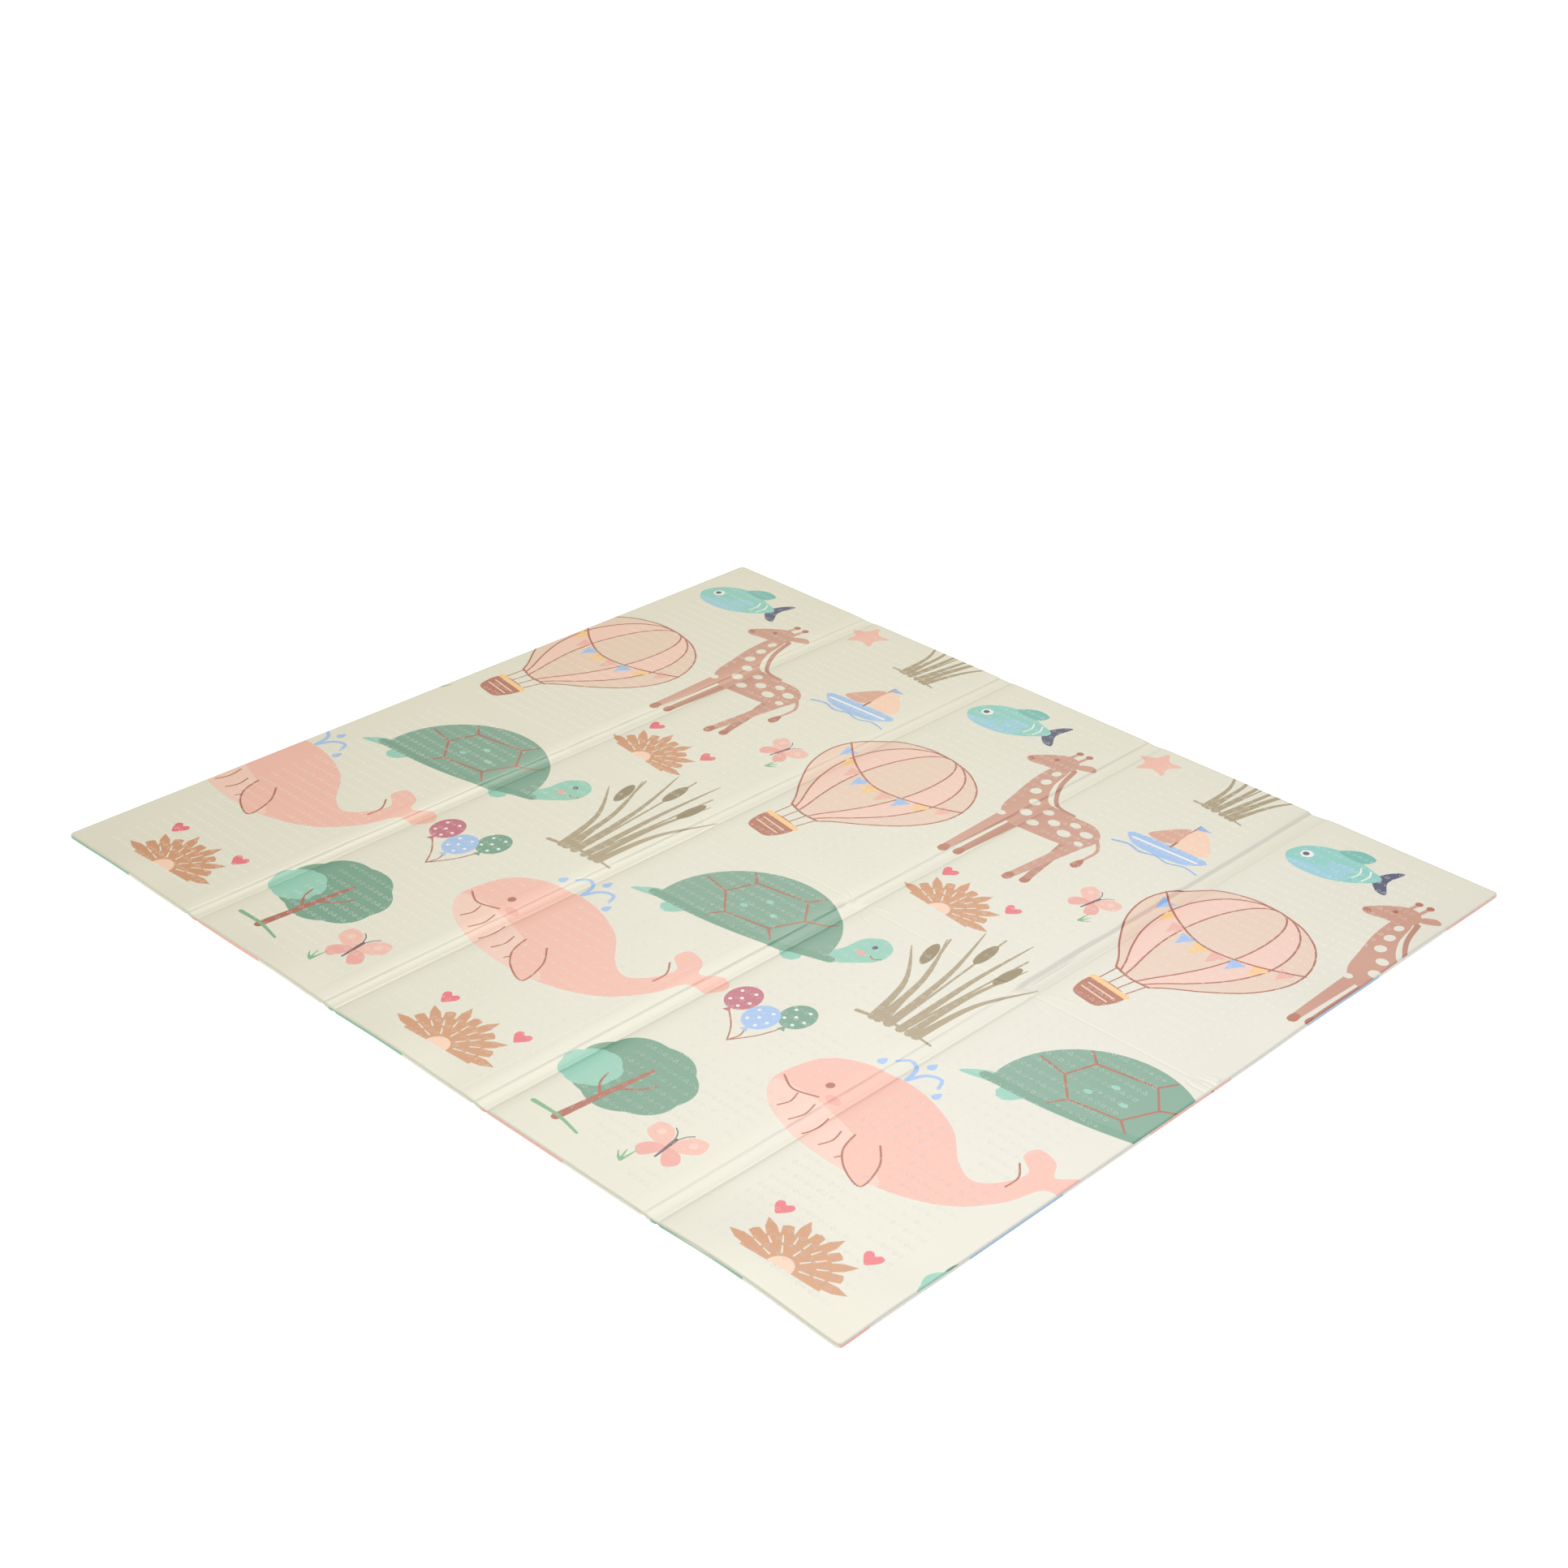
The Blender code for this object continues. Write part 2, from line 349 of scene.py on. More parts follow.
def half_oval(x, y, wide, high, steps=22):
    """Upper half of an ellipse on a flat base."""
    a = np.linspace(0, np.pi, steps)
    return np.stack([x + wide / 2 * np.cos(a), y + high * np.sin(a)], axis=1)


def ribbon(points, start, end=None, steps=6):
    """Outline of a smooth line through the points, made as a bar is."""
    return bar(spline(points, False, steps), start, end)


def bar(points, start, end=None):
    """A line's outline: its width goes from start to end along it, with round ends."""
    end = start if end is None else end
    line = np.array(points, float)
    step = np.gradient(line, axis=0)
    step = step / np.linalg.norm(step, axis=1)[:, None]
    side = np.stack([-step[:, 1], step[:, 0]], axis=1)
    half = np.linspace(start, end, len(line))[:, None] / 2
    left, right = line + side * half, line - side * half
    cap_end, cap_start = [], []
    for k in range(1, 4):
        a = np.pi * k / 4
        cap_end.append(line[-1] + half[-1] * (side[-1] * np.cos(a) + step[-1] * np.sin(a)))
        cap_start.append(line[0] + half[0] * (-side[0] * np.cos(a) - step[0] * np.sin(a)))
    return np.concatenate([left, cap_end, right[::-1], cap_start])


def mirrored(points):
    """A closed outline from its right half, given from top to bottom."""
    right = np.array(points, float)
    left = right[::-1] * (-1, 1)
    keep = [p for p in left if abs(p[0]) > 1e-6]
    return np.concatenate([right, keep]) if keep else right


def moved(layers, x=0.0, y=0.0, scale=1.0, turn=0.0, flip=False):
    """The same layers at another place."""
    r = math.radians(turn)
    spin = np.array([[math.cos(r), math.sin(r)], [-math.sin(r), math.cos(r)]])
    side = (-1, 1) if flip else (1, 1)
    return [(ink, (outline * side * scale) @ spin + (x, y)) for ink, outline in layers]


def air_balloon():
    """Hot-air balloon with gores, a garland of small flags and a basket."""
    right = [(0, 24), (6, 23.2), (12, 20), (16, 14.5), (17.2, 8), (15, 1), (10.5, -5), (6, -9.5), (4, -12)]
    envelope = spline(mirrored(right), steps=5)
    for share, ink in ((1.0, "peach"), (0.70, "blush"), (0.36, "peach")):
        yield ink, envelope * (share, 1)
    for share in (-1.0, -0.70, -0.36, 0.36, 0.70, 1.0):
        yield "brown_line", ribbon([(x * share, y) for x, y in right], 0.35, steps=4)
    for k in range(-4, 5):
        x = k * 3.6
        y = 4.6 + 0.030 * x * x
        flag = [(x - 1.6, y), (x + 1.6, y + 0.1), (x, y - 3.6)]
        yield ("yellow", "salmon", "sky")[k % 3], np.array(flag)
    yield "brown_line", ribbon([(-16.9, 12.3), (-9, 7.4), (0, 4.9), (9, 7.4), (16.9, 12.3)], 0.4)
    yield "brown_line", ribbon([(-4, -12), (0, -12.6), (4, -12)], 0.5)
    for x in (-3.6, -1.2, 1.2, 3.6):
        yield "brown_line", bar([(x, -12.2), (x * 0.86, -17.2)], 0.28)
    yield "rust", spline([(-3.8, -17), (3.8, -17), (3.2, -22.6), (0, -23.4), (-3.2, -22.6)], steps=4)
    yield "yellow", bar([(-4, -17.2), (4, -17.2)], 1.2)
    for y in (-19.2, -20.8):
        yield "peach", bar([(-3.0, y), (3.0, y)], 0.35)


def whale():
    """Whale with a pale belly, seen from the side, with a spout."""
    body = [
        (-23, -1), (-21.5, 6), (-15, 10.6), (-5, 11.8), (5, 9.2), (12, 4), (16.6, 2.4), (19.6, 5.2),
        (20.8, 10.5), (17.2, 13.0), (17.6, 16.2), (21.6, 15.8), (24.2, 13.0), (27.2, 16.0), (30.6, 14.2),
        (29.4, 10.6), (25.2, 9.4), (23.6, 2.6), (18.8, -5), (9, -10.4), (-4, -12.2), (-16, -10.4),
        (-22, -6),
    ]
    belly = [
        (-22.4, -4.4), (-14, -2.8), (-5, -4.0), (3, -6.6), (9, -10.2), (0, -12.0), (-10, -11.7),
        (-18.6, -9.2),
    ]
    yield "pink", spline(body)
    yield "blush", spline(belly)
    grooves = ((-17, -4.2, 4.6), (-13, -4.0, 5.8), (-9, -4.6, 5.8), (-5, -5.4, 5.0), (-1, -6.6, 4.0))
    for x, y, long in grooves:
        yield "brown_line", ribbon([(x, y), (x + 0.9, y - long / 2), (x + 0.4, y - long)], 0.32)
    yield "brown_line", ribbon([(-22.2, -2.6), (-18.4, -4.0), (-14.2, -2.2)], 0.4)
    yield "brown_line", oval(-15.4, 1.4, 1.5, 1.7)
    yield "rose", oval(-12.2, -0.8, 3.2, 2.0)
    fin = [(-3, -4.2), (-1.2, -8.4), (2.8, -11.4), (7.4, -12.2), (5.4, -6.6), (1.6, -3.0)]
    yield "pink", spline(fin)
    yield "brown_line", ribbon(fin, 0.36)
    yield "brown_line", ribbon([(18.2, 11.2), (20.6, 8.6), (21.0, 5.4)], 0.36)
    for side in (-1, 1):
        jet = [(-9, 12.2), (-9 + 1.2 * side, 15.5), (-9 + 3.6 * side, 16.6), (-9 + 5.0 * side, 14.6)]
        yield "sky", ribbon(jet, 0.9, 0.6)
    for x, y in ((-15.4, 12.6), (-2.6, 12.8), (-9, 17.8)):
        drop = [(x, y + 1.3), (x + 0.8, y - 0.2), (x, y - 0.9), (x - 0.8, y - 0.2)]
        yield "sky", spline(drop, steps=4)


def giraffe():
    """Giraffe with pale patches, standing."""
    def leg(ink, hip, foot, top, low, widths, hoof):
        yield ink, ribbon([(hip, top), (hip * 0.5 + foot * 0.5, -11), (foot, low)], *widths)
        yield "rust", bar([(foot, low + 1.0), (foot, low)], *hoof)

    for hip, foot in ((-6.5, -8.6), (5.4, 6.8)):
        yield from leg("tan_dark", hip, foot, -3, -19.5, (2.4, 1.5), (1.7, 1.9))
    body = [
        (-10.4, 1.6), (-7, 5.4), (0, 6.0), (5.4, 7.4), (8.4, 13), (9.6, 20), (12.6, 20.6), (13.2, 14),
        (12.2, 6.0), (10.8, -0.6), (6.6, -4.0), (-3, -4.4), (-9, -3.2),
    ]
    yield "tan", spline(body)
    for hip, foot in ((-8.6, -5.4), (8.6, 9.6)):
        yield from leg("tan", hip, foot, -1, -20.5, (3.0, 1.6), (1.8, 2.0))
    head = [
        (9.0, 21.2), (10.6, 24.6), (13.8, 24.8), (17.4, 22.2), (19.4, 19.6), (18.0, 18.2), (14.6, 18.6),
        (11, 18.8),
    ]
    yield "tan", spline(head)
    for x in (10.6, 12.9):
        yield "tan", bar([(x, 24), (x - 0.5, 27)], 0.8)
        yield "rust", oval(x - 0.6, 27.4, 1.5, 1.5, steps=16)
    yield "tan", spline([(9.6, 23.4), (7.2, 24.8), (5.8, 23.4), (8.8, 21.8)], steps=4)
    yield "brown_line", oval(14.2, 22.2, 1.0, 1.2, steps=16)
    yield "rust", oval(18.4, 19.4, 1.8, 1.3, 30, steps=16)
    yield "tan_dark", ribbon([(8.8, 20.6), (7.2, 13.5), (3.4, 7.4), (-1.5, 6.2)], 1.1, 0.7)
    yield "tan", ribbon([(-10, 1.6), (-12.4, -1.8), (-12.2, -6.4)], 0.8, 0.6)
    yield "rust", spline([(-12.2, -5.8), (-11.2, -8.6), (-12.4, -9.6), (-13.2, -8.2)], steps=4)
    spots = (
        (-7.4, 1.8, 2.8, 2.2), (-3.8, 3.4, 2.4, 1.8), (-3.9, -0.6, 3.0, 2.4), (-0.2, 1.4, 2.6, 2.2),
        (3.0, 4.0, 2.6, 2.0), (3.0, -1.2, 2.8, 2.2), (6.4, 1.4, 2.6, 2.4), (7.4, 5.6, 2.4, 2.2),
        (9.8, 9.2, 2.2, 2.4), (10.4, 13.4, 2.0, 2.4), (10.8, 17.4, 1.7, 2.2), (-8.2, -1.9, 2.0, 1.6),
        (9.6, -2.2, 1.7, 1.7),
    )
    for x, y, wide, high in spots:
        yield "cream", oval(x, y, wide, high, 10, steps=18)


def turtle():
    """Turtle with a domed shell."""
    tail = [(-17, -5.6), (-20.6, -6.6), (-23.2, -8.6), (-19.6, -8.6), (-16, -8.0)]
    head = [
        (14, -6), (18.4, -3.4), (20.2, 1.8), (23.4, 3.8), (26.4, 1.8), (26.4, -2.4), (23.0, -5.6),
        (18.0, -8.2),
    ]
    yield "mint", bar([(-10, -5), (-13.5, -9.6)], 5.0, 4.0)
    yield "mint", bar([(9.5, -5), (12.6, -9.6)], 5.0, 4.0)
    yield "mint", spline(tail, steps=4)
    yield "mint", spline(head)
    yield "leaf", np.concatenate([half_oval(0, -6.4, 36, 17.6, 30), [(-17.4, -8.0), (17.4, -8.0)]])
    yield "leaf_dark", ribbon([(-19, -7.2), (-9, -8.5), (0, -8.9), (9, -8.5), (19, -7.2)], 2.0)
    cell = [(-5.6, 6.2), (5.6, 6.2), (8.6, 0.6), (4.8, -5.2), (-4.8, -5.2), (-8.6, 0.6)]
    yield "brown_line", bar(cell + cell[:1], 0.5)
    for side in (-1, 1):
        for x0, y0, x1, y1 in ((5.6, 6.2, 7.8, 9.0), (8.6, 0.6, 14.2, 2.8), (4.8, -5.2, 7.0, -8.0)):
            yield "brown_line", bar([(side * x0, y0), (side * x1, y1)], 0.5, 0.35)
    for x, y in ((0, 2.2), (-3.2, -1.4), (3.2, -1.4)):
        yield "mint", oval(x, y, 1.6, 1.2, steps=16)
    yield "navy", oval(23.4, 0.6, 1.1, 1.3, steps=16)
    yield "rose", oval(22.2, -2.2, 2.2, 1.4, steps=16)
    yield "brown_line", ribbon([(24.2, -2.2), (25.2, -2.7), (26.2, -2.0)], 0.3)


def reeds():
    """Clump of reeds with blades and seed heads."""
    blades = (
        (-9, 12, -3.2), (-5.2, 18, -1.2), (3.4, 20, 1.2), (7.0, 13, 3.0), (11.5, 9.5, 4.4),
        (-12.5, 6.5, -4.4),
    )
    for x, y, root in blades:
        blade = [(root, -15), (root + (x - root) * 0.28, -15 + (y + 15) * 0.55), (x, y)]
        yield "olive", ribbon(blade, 1.7, 0.2)
    for x, y, root in ((-1.2, 12.4, -0.6), (5.4, 9.4, 1.6), (-8.6, 6.4, -2.0)):
        stalk = [(root, -15), (root + (x - root) * 0.4, -2), (x, y + 6.0)]
        lean = -math.degrees(math.atan2(x - root, 30))
        yield "olive", ribbon(stalk, 0.6, 0.4)
        yield "olive_dark", oval(x, y, 2.3, 7.2, lean, steps=20)
    yield "olive", ribbon([(-7.5, -15.2), (0, -14.4), (7.5, -15.2)], 0.9, 0.5)


def rising_sun():
    """Half sun with pointed rays and pale dashes, and two small hearts over it."""
    def around(radius, degrees):
        a = math.radians(degrees)
        return (radius * math.cos(a), radius * math.sin(a))

    for k in range(11):
        a = 8 + 164 * k / 10
        tip = around(11.6 if k % 2 == 0 else 9.6, a)
        sides = [around(6.6, a + 9), (0, 0), around(6.6, a - 9)]
        yield "amber", np.array([*sides, around(9.4, a - 5.6), tip, around(9.4, a + 5.6)])
    yield "amber", half_oval(0, -0.5, 15.4, 8.2)
    for k in range(9):
        a = 16 + 148 * k / 8
        for near, far in ((3.0, 4.6), (5.4, 7.0)):
            if near > 4 or k % 2 == 0:
                yield "cream", bar([around(near, a), around(far, a)], 0.34, 0.2)
    yield "light_peach", half_oval(0, -0.5, 4.6, 2.6)
    for x, y in ((-8.6, 10.6), (8.8, 10.4)):
        yield from moved(heart("red"), x, y, 0.30)


def heart(ink):
    right = [(0, 3.0), (2.4, 5.0), (5.2, 4.0), (5.4, 0.8), (2.8, -3.0), (0, -5.6)]
    return [(ink, spline(mirrored(right), steps=4))]


def party_balloons():
    """Three dotted balloons on strings."""
    balloons = ((-4.6, 1.8, "crimson"), (4.8, 3.0, "leaf_dark"), (0.6, -0.6, "sky"))
    for x, y, _ in balloons:
        string = [(x, y - 3.6), (x / 2 + 0.8, y / 2 - 6.0), (0.4, -8.4)]
        yield "brown_line", ribbon(string, 0.26)
    for x, y, ink in balloons:
        yield ink, oval(x, y, 5.6, 6.8, steps=24)
        yield ink, np.array([(x - 0.7, y - 4.3), (x + 0.7, y - 4.3), (x, y - 3.0)])
        for dx, dy in ((-1.4, 1.4), (0.9, 1.9), (-0.2, -0.2), (1.6, -0.6), (-1.5, -1.4), (0.6, -2.2)):
            yield "white", oval(x + dx, y + dy, 0.62, 0.62, steps=12)


def butterfly():
    """Small butterfly over two blades."""
    half = [
        ("pink", spline([(0.2, 0.4), (1.6, 4.2), (4.8, 4.8), (5.4, 1.8), (2.6, 0.0)], steps=5)),
        ("rose", spline([(0.2, 0.0), (3.0, -0.4), (4.2, -2.6), (2.4, -4.2), (0.6, -2.2)], steps=5)),
        ("blush", oval(3.2, 2.8, 1.6, 1.6, steps=14)),
        ("plum", ribbon([(0.2, 2.4), (0.9, 4.0), (1.9, 4.9)], 0.24)),
    ]
    yield from moved(half, flip=True) + half
    yield "plum", bar([(0, 2.4), (0, -3.0)], 0.8, 0.4)
    for x, y in ((-4.6, -4.2), (-3.2, -3.4), (-5.6, -5.2)):
        blade = [(-3.8, -7.0), ((x - 3.8) / 2, (y - 7.0) / 2 - 0.3), (x, y)]
        yield "grass", ribbon(blade, 0.7, 0.15)


def fish():
    """Round fish with a striped tail."""
    body = [(-9.6, -0.4), (-7, 4.2), (-1, 6.0), (5, 3.8), (9.6, 0.6), (5, -3.8), (-1, -5.4), (-7, -4.0)]
    tail = [(8.0, 0.6), (10.2, 4.6), (12.2, 5.4), (10.8, 0.8), (12.4, -3.6), (10.0, -3.2)]
    yield "navy", spline(tail, steps=4)
    yield "teal", spline(body)
    yield "pool", spline([(-8.6, -2.4), (-2, -1.6), (4.4, -2.8), (0, -5.2), (-5.6, -4.8)])
    yield "teal_dark", spline([(-1.6, 5.6), (2, 8.2), (5.6, 7.0), (4.0, 4.2)], steps=4)
    yield "pool", spline([(-1.4, 0.6), (3.0, 1.8), (4.0, -0.4), (0.6, -1.8)], steps=4)
    yield "white", oval(-6.0, 1.0, 2.6, 2.6, steps=18)
    yield "navy", oval(-6.2, 1.0, 1.3, 1.4, steps=14)
    for x in (4.6, 6.6):
        yield "white", ribbon([(x, 2.4), (x + 0.6, 0.4), (x, -1.8)], 0.36)


def sailing_boat():
    """Boat with two sails on a wavelet."""
    wave = [(-10, -8.2), (-6.6, -7.4), (-3.3, -8.4), (0, -7.6), (3.3, -8.4), (6.6, -7.4), (10, -8.2)]
    return [
        ("sky", spline([(-8.6, -2.6), (8.6, -2.6), (6.2, -6.6), (0, -7.4), (-6.2, -6.6)], steps=4)),
        ("white", bar([(-7.6, -4.4), (7.6, -4.4)], 0.6)),
        ("brown_line", bar([(0.2, -2.6), (0.2, 8.6)], 0.6, 0.4)),
        ("light_peach", spline([(0.8, 7.8), (6.0, 3.2), (7.6, -1.4), (0.8, -1.4)], steps=4)),
        ("rust_light", spline([(-0.4, 6.2), (-4.6, 2.0), (-6.0, -1.4), (-0.4, -1.4)], steps=4)),
        ("blue", np.array([(0.2, 8.8), (3.4, 7.8), (0.2, 6.8)])),
        ("blue", ribbon(wave, 0.7, 0.4)),
    ]


def round_tree():
    """Tree with a scalloped crown."""
    a = np.linspace(0, 2 * np.pi, 84, endpoint=False)
    swell = 1 + 0.07 * np.abs(np.sin(3.5 * a))
    crown = np.stack([10.4 * swell * np.cos(a), 3.5 + 9.2 * swell * np.sin(a)], axis=1)
    small = np.stack([-6.4 + 5.2 * swell * np.cos(a), -0.2 + 4.8 * swell * np.sin(a)], axis=1)
    return [
        ("leaf_dark", crown),
        ("mint", small[::2]),
        ("brown_line", ribbon([(1.0, 6.5), (0.8, -2), (0.6, -12.5)], 0.7, 1.7)),
        ("brown_line", ribbon([(0.8, -1), (3.4, 1.6), (4.6, 4.4)], 0.6, 0.3)),
        ("brown_line", ribbon([(0.8, -4), (-2.0, -1.8), (-3.2, 0.8)], 0.6, 0.3)),
        ("grass", ribbon([(-5, -12.6), (0.6, -12.1), (6, -12.7)], 0.9, 0.5)),
    ]


def star(ink="pink", big=5.0):
    points = []
    for k in range(10):
        a = math.radians(90 + 36 * k)
        r = big if k % 2 == 0 else big * 0.52
        points.append((r * math.cos(a), r * math.sin(a)))
    return [(ink, spline(points, steps=3))]


def cloud():
    return [
        ("white", oval(-3.2, 0, 5.6, 4.6, steps=20)),
        ("white", oval(0.8, 1.2, 6.6, 6.2, steps=22)),
        ("white", oval(4.6, -0.2, 4.8, 4.0, steps=18)),
        ("white", bar([(-4.4, -1.4), (5.4, -1.4)], 1.9)),
    ]


def flower():
    for k in range(6):
        a = math.radians(60 * k)
        yield "white", oval(2.5 * math.cos(a), 2.5 * math.sin(a), 4.0, 2.5, 60 * k, steps=16)
    yield "yellow", oval(0, 0, 2.4, 2.4, steps=14)


def acorn():
    return [
        ("amber", spline([(-2.8, 0.6), (2.8, 0.6), (2.2, -3.4), (0, -5.2), (-2.2, -3.4)], steps=4)),
        ("rust", half_oval(0, 0.2, 7.0, 3.2, 16)),
        ("rust", bar([(0, 3.2), (0.4, 4.8)], 0.7)),
    ]


def toadstool():
    return [
        ("blush", spline([(-1.4, 0), (1.4, 0), (1.8, -4.6), (-1.8, -4.6)], steps=4)),
        ("crimson", half_oval(0, -0.6, 9.0, 5.0, 18)),
        ("white", oval(-1.8, 1.6, 1.1, 1.0, steps=12)),
        ("white", oval(1.6, 2.2, 1.2, 1.1, steps=12)),
        ("white", oval(0.2, 0.4, 0.9, 0.8, steps=12)),
    ]


# The top print repeats along X. Places are in cm from the repeat's start and from the mat's middle.
REPEAT = 80.0
REPEAT_START = -118.0
REPEATS = 4
TOP_PRINT = (
    (butterfly, {"x": 7.0, "y": -76.0, "turn": 8}),
    (rising_sun, {"x": 40.0, "y": -84.0, "scale": 1.02, "turn": 4}),
    (round_tree, {"x": 69.0, "y": -70.0, "scale": 1.05, "turn": -4}),
    (whale, {"x": 29.0, "y": -48.0, "scale": 1.02, "turn": -6}),
    (party_balloons, {"x": 71.0, "y": -38.5, "scale": 1.15, "turn": 6}),
    (reeds, {"x": 8.0, "y": -9.0, "scale": 1.05, "turn": 5}),
    (turtle, {"x": 47.0, "y": -13.5, "scale": 1.02, "turn": 10}),
    (rising_sun, {"x": 69.5, "y": 9.5, "scale": 0.98, "turn": -6}),
    (air_balloon, {"x": 30.0, "y": 29.5, "scale": 1.04, "turn": -9}),
    (giraffe, {"x": 64.0, "y": 48.0, "scale": 1.02, "turn": 3, "flip": True}),
    (butterfly, {"x": 7.5, "y": 31.5, "scale": 0.85, "turn": -10, "flip": True}),
    (sailing_boat, {"x": 5.0, "y": 61.0, "scale": 0.95, "turn": 3}),
    (fish, {"x": 31.0, "y": 75.5, "turn": 8}),
    (reeds, {"x": 85.0, "y": 88.0, "scale": 0.80, "turn": -6}),
    (star, {"x": 63.5, "y": 83.5, "turn": 10}),
)

# The underside's check: pitch along X and Y in cm, where it starts, and the two colours of each row
CHECK_X, CHECK_Y = 20.0, 22.2
CHECK_START_X, CHECK_START_Y = -100.0, -105.8
CHECK_ROWS = (
    ("check_green", "check_pink"),
    ("check_blue", "check_brown"),
    ("check_pink", "check_blue"),
    ("check_brown", "check_green"),
)
CHECK_MOTIFS = (
    star("yellow", 5.2),
    cloud(),
    heart("rose"),
    acorn(),
    list(flower()),
    moved(fish(), scale=0.52),
    toadstool(),
    moved(sailing_boat(), scale=0.62),
    moved(butterfly(), scale=0.95),
    moved(round_tree(), scale=0.48),
    moved(rising_sun(), y=-3.0, scale=0.62),
)


def top_print():
    layers = []
    for copy in range(REPEATS):
        start = REPEAT_START + copy * REPEAT
        for motif, place in TOP_PRINT:
            layers += moved(motif(), **{**place, "x": start + place["x"]})
    return layers


def underside_print():
    squares, motifs = [], []
    for i in range(-1, 11):
        for j in range(0, 10):
            x, y = CHECK_START_X + CHECK_X * i, CHECK_START_Y + CHECK_Y * j
            if (i + j) % 2 == 0:
                ink = CHECK_ROWS[j % 4][(i // 2) % 2]
                square = [(x, y), (x + CHECK_X, y), (x + CHECK_X, y + CHECK_Y), (x, y + CHECK_Y)]
                squares.append((ink, np.array(square)))
            if 0 <= i < 10 and 1 <= j <= 8:
                motif = CHECK_MOTIFS[(3 * i + 5 * j) % len(CHECK_MOTIFS)]
                motifs += moved(motif, x + CHECK_X / 2, y + CHECK_Y / 2, turn=6 * ((i * j) % 3 - 1))
    return squares + motifs


# The flat pattern, cut into faces along the rows of the mesh and along every outline of the print

LEAST_GAP = 0.7 * MM
CORNER_STEPS = 7
# Columns beside each crease's line, in mm, and rows at the middle crease that stay whole lines in the mesh
SHARP_COLUMNS = (-11, -6.5, -3, 0, 3, 6.5, 11)
SHARP_ROWS = (-5.5 * MM, 0.0, 5.5 * MM)
# The underside has a third of the rows further from its middle groove than this
FULL_ROWS = 9 * MM
# How close the print comes to the seam
PRINT_STOP = 0.45 * MM
# Points closer than this are one, triangles below this doubled area are dropped, and the seam's points lie
# this close to its line
WELD_GAP = 1e-5
LEAST_AREA = 1e-13
SEAM_GAP = 2e-5


def rows_along_x():
    rows = {-HALF_X, HALF_X}
    near = (-14, -11, -8.5, -6.5, -4.5, -3, -1.8, -0.8, 0, 0.8, 1.8, 3, 4.5, 6.5, 8.5, 11)
    wide = (-75, -62, -59, -57, -55, -53, -51, -48, -43, -36, 0, 33, 40, 48, 58, 72)
    inset, run, steps = 0.075, 0.25, 10
    for middle in BAND_MIDDLES:
        for side in (-1, 1):
            rows |= {round(middle + side * GROOVE_SPACING / 2 + d * MM, 6) for d in near}
        rows |= {round(middle + d * MM, 6) for d in wide}
    for k in range(5):
        start = -LENGTH / 2 + k * PANEL
        rows |= {round(start + inset + run * i / steps, 6) for i in range(steps + 1)}
    rows |= {side * (LENGTH / 2 - d * MM) for side in (-1, 1) for d in (12, 20, 35, 55)}
    return thinned(rows, HALF_X)


def rows_along_y():
    rows = {-HALF_Y, HALF_Y}
    rows |= {side * d * MM for side in (-1, 1) for d in (0, 0.9, 2, 3.5, 5.5, 8.5, 13, 20, 29, 40)}
    inset, run, steps = 0.055, 0.82, 38
    for side in (-1, 1):
        rows |= {round(side * (inset + run * i / steps), 6) for i in range(steps + 1)}
        rows |= {side * (WIDTH / 2 - d * MM) for d in (12, 18)}
    # Closer rows along the tuck
    rows |= {0.046 + 0.006 * i for i in range(13)}
    return thinned(rows, HALF_Y)


def thinned(rows, end):
    """Sorted rows within the ends, none closer than the least gap."""
    kept = []
    for row in sorted(r for r in rows if abs(r) <= end + 1e-9):
        if not kept or row - kept[-1] > LEAST_GAP:
            kept.append(row)
    kept[-1] = end
    return np.array(kept)


def ring(reach, xs, ys):
    """Points of the pattern's line at that reach outside the inner rectangle, anticlockwise."""
    points = []
    sides = (
        [(x, -HALF_Y - reach) for x in xs[:-1]],
        [(HALF_X + reach, y) for y in ys[:-1]],
        [(x, HALF_Y + reach) for x in xs[:0:-1]],
        [(-HALF_X - reach, y) for y in ys[:0:-1]],
    )
    corners = ((HALF_X, -HALF_Y, -90), (HALF_X, HALF_Y, 0), (-HALF_X, HALF_Y, 90), (-HALF_X, -HALF_Y, 180))
    for side, (cx, cy, first) in zip(sides, corners):
        points += side
        for k in range(CORNER_STEPS):
            a = math.radians(first + 90 * k / CORNER_STEPS)
            points.append((cx + reach * math.cos(a), cy + reach * math.sin(a)))
    return np.array(points)


def clipped(outline, border):
    """The part of an outline inside a convex border given anticlockwise."""
    out = outline
    for start, stop in zip(border, np.roll(border, -1, axis=0)):
        edge = stop - start
        gap = edge[0] * (out[:, 1] - start[1]) - edge[1] * (out[:, 0] - start[0])
        if (gap >= 0).all():
            continue
        if (gap < 0).all():
            return None
        kept = []
        for k in range(len(out)):
            a, b, ga, gb = out[k - 1], out[k], gap[k - 1], gap[k]
            if (ga >= 0) != (gb >= 0):
                kept.append(a + (b - a) * ga / (ga - gb))
            if gb >= 0:
                kept.append(b)
        out = np.array(kept)
        if len(out) < 3:
            return None
    return out


def inside(points, outline):
    """True for each point that the outline winds round."""
    winding = np.zeros(len(points), int)
    x, y = points[:, 0], points[:, 1]
    for (x0, y0), (x1, y1) in zip(outline, np.roll(outline, -1, axis=0)):
        side = (x1 - x0) * (y - y0) - (y1 - y0) * (x - x0)
        winding += ((y0 <= y) & (y1 > y) & (side > 0)).astype(int)
        winding -= ((y0 > y) & (y1 <= y) & (side < 0)).astype(int)
    return winding != 0


